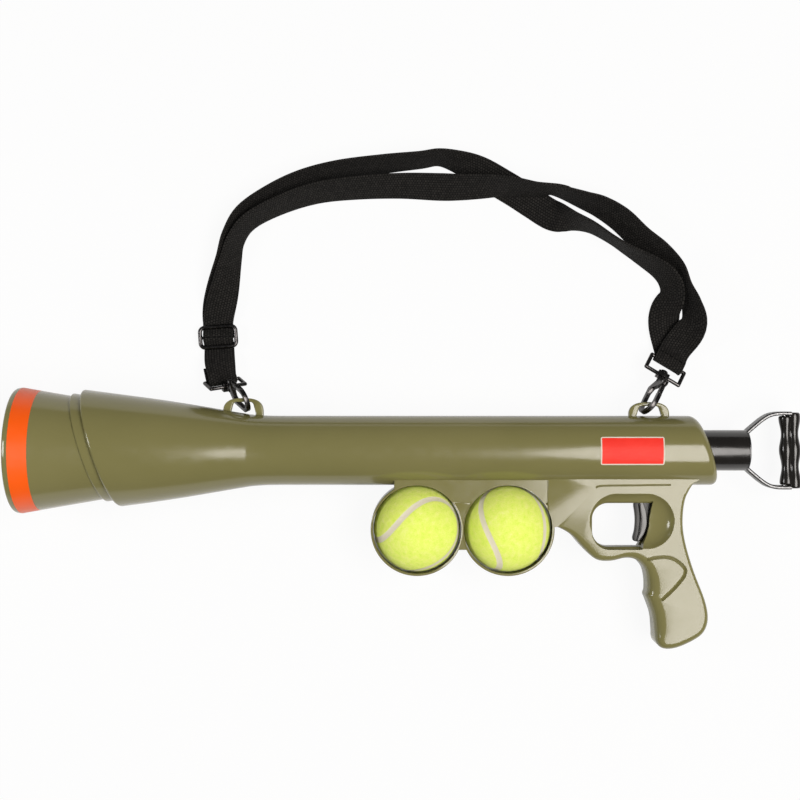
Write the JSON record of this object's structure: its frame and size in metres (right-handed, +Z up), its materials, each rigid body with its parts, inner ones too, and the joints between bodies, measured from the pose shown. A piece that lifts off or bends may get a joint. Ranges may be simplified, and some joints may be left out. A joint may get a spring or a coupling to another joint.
{
  "type": "dog tennis ball launcher",
  "caption": "Hand-held spring-plunger launcher for tennis balls: flared muzzle, long barrel, pistol grip with trigger, pull handle, spare-ball rack and shoulder strap.",
  "frame": {"origin": "on the floor under the middle of the launcher's box without its strap, as it lies on its right-hand side", "axes": "+X from the muzzle to the pull handle, +Y from the pistol grip to the strap lugs, +Z up off the floor"},
  "size_m": [0.5994, 0.3842, 0.0961],
  "materials": {
    "olive_plastic": "glossy moulding",
    "orange_plastic": "glossy",
    "ball_felt": "napped felt",
    "black_plastic": "semi-gloss",
    "black_rubber": "matt",
    "black_webbing": "woven",
    "bright_chrome": "polished",
    "dark_chrome": "polished black nickel",
    "plain_steel": "plain"
  },
  "bodies": {
    "launcher_body": {"left_shell": "olive_plastic", "right_shell": "olive_plastic", "shell_screws": "plain_steel", "muzzle_funnel": "olive_plastic", "muzzle_band": "orange_plastic", "main_spring": "plain_steel", "spring_seat": "plain_steel", "bumper_ring": "black_rubber", "rear_bush": "black_plastic", "trigger_pin": "plain_steel", "trigger_spring": "plain_steel", "sear_pin": "plain_steel", "sear_spring": "plain_steel", "front_hook_loop": "dark_chrome", "rear_hook_loop": "dark_chrome", "strap_slider": "dark_chrome", "strap_outer_run": "black_webbing", "strap_inner_run": "black_webbing", "strap_front_tab": "black_webbing"},
    "plunger": {"plunger_tube": "black_plastic", "striker_head": "black_plastic", "striker_pad": "black_rubber", "striker_pin": "plain_steel", "pull_yoke": "bright_chrome", "yoke_pin": "plain_steel", "pull_grip": "black_plastic", "grip_rod": "plain_steel"},
    "trigger_lever": {"trigger": "black_plastic"},
    "sear_lever": {"sear": "plain_steel"},
    "front_spare_ball": {"front_ball": "ball_felt"},
    "rear_spare_ball": {"rear_ball": "ball_felt"},
    "front_hook": {"front_hook_body": "dark_chrome", "front_gate_pin": "plain_steel"},
    "front_gate": {"front_hook_gate": "dark_chrome"},
    "rear_hook": {"rear_hook_body": "dark_chrome", "rear_gate_pin": "plain_steel"},
    "rear_gate": {"rear_hook_gate": "dark_chrome"}
  },
  "joints": [
    {"name": "plunger_draw", "type": "slide", "parent": "launcher_body", "child": "plunger", "axis": [0.9991, 0, -0.0419], "range_m": [0, 0.14], "stiffness_N_per_m": 500, "springref_m": -0.02, "deforming": ["main_spring"]},
    {"name": "trigger_pull", "type": "hinge", "parent": "launcher_body", "child": "trigger_lever", "pos_m": [0.18488, 0.017, 0.02787], "axis": [0.0419, 0, 0.9991], "range_deg": [0, 10], "stiffness_Nm_per_rad": 0.25, "springref_deg": -11.46, "deforming": ["trigger_spring"]},
    {"name": "sear_turn", "type": "hinge", "parent": "launcher_body", "child": "sear_lever", "pos_m": [0.18787, 0.0265, 0.02774], "axis": [0.0419, 0, 0.9991], "range_deg": [0, 14], "deforming": ["sear_spring"]},
    {"name": "front_ball_out", "type": "slide", "parent": "launcher_body", "child": "front_spare_ball", "axis": [0.0419, 0, 0.9991], "range_m": [0, 0.072]},
    {"name": "rear_ball_out", "type": "slide", "parent": "launcher_body", "child": "rear_spare_ball", "axis": [0.0419, 0, 0.9991], "range_m": [0, 0.072]},
    {"name": "front_hook_swivel", "type": "hinge", "parent": "launcher_body", "child": "front_hook", "pos_m": [-0.14206, 0.10005, 0.01992], "axis": [-0.5433, 0.3772, -0.7501], "range_deg": [-25, 6]},
    {"name": "front_gate_open", "type": "hinge", "parent": "front_hook", "child": "front_gate", "pos_m": [-0.13803, 0.10361, 0.03132], "axis": [0.8298, 0.3771, -0.4114], "range_deg": [0, 20], "stiffness_Nm_per_rad": 0.02, "springref_deg": -17.19},
    {"name": "rear_hook_swivel", "type": "hinge", "parent": "launcher_body", "child": "rear_hook", "pos_m": [0.19515, 0.10823, 0.01542], "axis": [0.4382, 0.7795, -0.4476], "range_deg": [-25, 6]},
    {"name": "rear_gate_open", "type": "hinge", "parent": "rear_hook", "child": "rear_gate", "pos_m": [0.19507, 0.10272, 0.02676], "axis": [0.7594, -0.5875, -0.2795], "range_deg": [0, 20], "stiffness_Nm_per_rad": 0.02, "springref_deg": -17.19}
  ],
  "couplings": [
    {"joint": "sear_turn", "follows": "trigger_pull", "ratio": 1.4}
  ]
}
